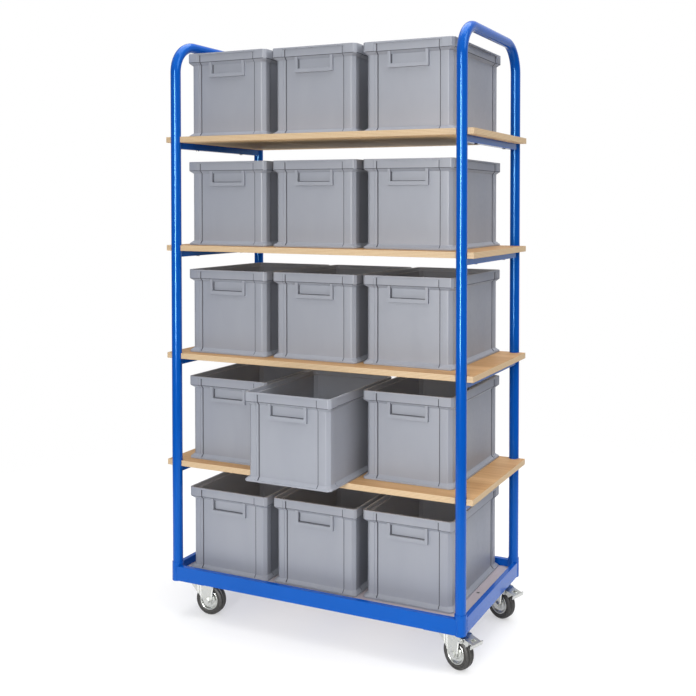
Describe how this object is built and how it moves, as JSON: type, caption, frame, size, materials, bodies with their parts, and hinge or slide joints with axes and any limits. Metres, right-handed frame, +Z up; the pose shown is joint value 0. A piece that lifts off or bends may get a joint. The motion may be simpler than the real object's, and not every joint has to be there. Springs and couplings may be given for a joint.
{
  "type": "order picking trolley",
  "caption": "Tall tube-framed order picking trolley with plywood shelves, grey stacking crates and swivel casters, some of them braked.",
  "frame": {"origin": "on the floor under the middle of the base frame", "axes": "+X along the length towards the braked casters, +Y to the back, +Z up"},
  "size_m": [1.0935, 0.5791, 1.874],
  "materials": {
    "blue_steel": "smooth blue powder coat, semi gloss",
    "plywood": "clear sealed plywood with pale laminated edges",
    "deck_board": "light grey faced board",
    "crate_plastic": "grey moulded polypropylene, satin",
    "zinc_steel": "bright zinc plate",
    "tyre_rubber": "black solid rubber",
    "screw_steel": "dark zinc plated screws"
  },
  "bodies": {
    "frame": {"base_deck": "deck_board", "caster_bolts": "zinc_steel", "caster_plates": "zinc_steel", "corner_plates": "blue_steel", "deck_bearers": "blue_steel", "deck_ledges": "blue_steel", "deck_screws": "screw_steel", "front_rail": "blue_steel", "kingpins": "zinc_steel", "left_hoop": "blue_steel", "left_rail": "blue_steel", "left_shelf_bars": "blue_steel", "post_sockets": "blue_steel", "rear_rail": "blue_steel", "right_hoop": "blue_steel", "right_rail": "blue_steel", "right_shelf_bars": "blue_steel", "shelf_1": "plywood", "shelf_2": "plywood", "shelf_3": "plywood", "shelf_4": "plywood", "shelf_screws": "screw_steel"},
    "front_left_caster": {"front_left_fork": "zinc_steel", "front_left_axle": "zinc_steel"},
    "front_left_roller": {"front_left_wheel": "zinc_steel", "front_left_tyre": "tyre_rubber"},
    "front_right_caster": {"front_right_fork": "zinc_steel", "front_right_axle": "zinc_steel", "front_right_pedal_pin": "zinc_steel"},
    "front_right_roller": {"front_right_wheel": "zinc_steel", "front_right_tyre": "tyre_rubber"},
    "front_right_brake": {"front_right_pedal": "zinc_steel"},
    "rear_left_caster": {"rear_left_fork": "zinc_steel", "rear_left_axle": "zinc_steel"},
    "rear_left_roller": {"rear_left_wheel": "zinc_steel", "rear_left_tyre": "tyre_rubber"},
    "rear_right_caster": {"rear_right_fork": "zinc_steel", "rear_right_axle": "zinc_steel", "rear_right_pedal_pin": "zinc_steel"},
    "rear_right_roller": {"rear_right_wheel": "zinc_steel", "rear_right_tyre": "tyre_rubber"},
    "rear_right_brake": {"rear_right_pedal": "zinc_steel"},
    "crate_1_left_box": {"crate_1_left": "crate_plastic"},
    "crate_1_middle_box": {"crate_1_middle": "crate_plastic"},
    "crate_1_right_box": {"crate_1_right": "crate_plastic"},
    "crate_2_left_box": {"crate_2_left": "crate_plastic"},
    "crate_2_middle_box": {"crate_2_middle": "crate_plastic"},
    "crate_2_right_box": {"crate_2_right": "crate_plastic"},
    "crate_3_left_box": {"crate_3_left": "crate_plastic"},
    "crate_3_middle_box": {"crate_3_middle": "crate_plastic"},
    "crate_3_right_box": {"crate_3_right": "crate_plastic"},
    "crate_4_left_box": {"crate_4_left": "crate_plastic"},
    "crate_4_middle_box": {"crate_4_middle": "crate_plastic"},
    "crate_4_right_box": {"crate_4_right": "crate_plastic"},
    "crate_5_left_box": {"crate_5_left": "crate_plastic"},
    "crate_5_middle_box": {"crate_5_middle": "crate_plastic"},
    "crate_5_right_box": {"crate_5_right": "crate_plastic"}
  },
  "joints": [
    {"name": "front_left_swivel", "type": "hinge", "parent": "frame", "child": "front_left_caster", "pos_m": [-0.444, -0.18, 0.1077], "axis": [0, 0, 1], "continuous": true},
    {"name": "front_left_roll", "type": "hinge", "parent": "front_left_caster", "child": "front_left_roller", "pos_m": [-0.40605, -0.17801, 0.05], "axis": [-0.0523, 0.9986, 0], "continuous": true},
    {"name": "front_right_swivel", "type": "hinge", "parent": "frame", "child": "front_right_caster", "pos_m": [0.444, -0.18, 0.1077], "axis": [0, 0, 1], "continuous": true},
    {"name": "front_right_roll", "type": "hinge", "parent": "front_right_caster", "child": "front_right_roller", "pos_m": [0.47971, -0.193, 0.05], "axis": [0.342, 0.9397, 0], "continuous": true},
    {"name": "front_right_brake_press", "type": "hinge", "parent": "front_right_caster", "child": "front_right_brake", "pos_m": [0.50602, -0.20257, 0.0977], "axis": [0.342, 0.9397, 0], "range_deg": [0, 14]},
    {"name": "rear_left_swivel", "type": "hinge", "parent": "frame", "child": "rear_left_caster", "pos_m": [-0.444, 0.18, 0.1077], "axis": [0, 0, 1], "continuous": true},
    {"name": "rear_left_roll", "type": "hinge", "parent": "rear_left_caster", "child": "rear_left_roller", "pos_m": [-0.40658, 0.1734, 0.05], "axis": [0.1736, 0.9848, 0], "continuous": true},
    {"name": "rear_right_swivel", "type": "hinge", "parent": "frame", "child": "rear_right_caster", "pos_m": [0.444, 0.18, 0.1077], "axis": [0, 0, 1], "continuous": true},
    {"name": "rear_right_roll", "type": "hinge", "parent": "rear_right_caster", "child": "rear_right_roller", "pos_m": [0.47971, 0.167, 0.05], "axis": [0.342, 0.9397, 0], "continuous": true},
    {"name": "rear_right_brake_press", "type": "hinge", "parent": "rear_right_caster", "child": "rear_right_brake", "pos_m": [0.50602, 0.15743, 0.0977], "axis": [0.342, 0.9397, 0], "range_deg": [0, 14]},
    {"name": "crate_1_left_lift", "type": "slide", "parent": "frame", "child": "crate_1_left_box", "axis": [0, 0, 1], "range_m": [0, 0.07]},
    {"name": "crate_1_middle_lift", "type": "slide", "parent": "frame", "child": "crate_1_middle_box", "axis": [0, 0, 1], "range_m": [0, 0.07]},
    {"name": "crate_1_right_lift", "type": "slide", "parent": "frame", "child": "crate_1_right_box", "axis": [0, 0, 1], "range_m": [0, 0.07]},
    {"name": "crate_2_left_slide", "type": "slide", "parent": "frame", "child": "crate_2_left_box", "axis": [0, -1, 0], "range_m": [-0.203, 0.217]},
    {"name": "crate_2_middle_slide", "type": "slide", "parent": "frame", "child": "crate_2_middle_box", "axis": [0, -1, 0], "range_m": [-0.343, 0.077]},
    {"name": "crate_2_right_slide", "type": "slide", "parent": "frame", "child": "crate_2_right_box", "axis": [0, -1, 0], "range_m": [-0.182, 0.238]},
    {"name": "crate_3_left_slide", "type": "slide", "parent": "frame", "child": "crate_3_left_box", "axis": [0, -1, 0], "range_m": [-0.203, 0.217]},
    {"name": "crate_3_middle_slide", "type": "slide", "parent": "frame", "child": "crate_3_middle_box", "axis": [0, -1, 0], "range_m": [-0.193, 0.228]},
    {"name": "crate_3_right_slide", "type": "slide", "parent": "frame", "child": "crate_3_right_box", "axis": [0, -1, 0], "range_m": [-0.182, 0.238]},
    {"name": "crate_4_left_slide", "type": "slide", "parent": "frame", "child": "crate_4_left_box", "axis": [0, -1, 0], "range_m": [-0.203, 0.217]},
    {"name": "crate_4_middle_slide", "type": "slide", "parent": "frame", "child": "crate_4_middle_box", "axis": [0, -1, 0], "range_m": [-0.193, 0.228]},
    {"name": "crate_4_right_slide", "type": "slide", "parent": "frame", "child": "crate_4_right_box", "axis": [0, -1, 0], "range_m": [-0.182, 0.238]},
    {"name": "crate_5_left_slide", "type": "slide", "parent": "frame", "child": "crate_5_left_box", "axis": [0, -1, 0], "range_m": [-0.203, 0.217]},
    {"name": "crate_5_middle_slide", "type": "slide", "parent": "frame", "child": "crate_5_middle_box", "axis": [0, -1, 0], "range_m": [-0.193, 0.228]},
    {"name": "crate_5_right_slide", "type": "slide", "parent": "frame", "child": "crate_5_right_box", "axis": [0, -1, 0], "range_m": [-0.182, 0.238]}
  ]
}
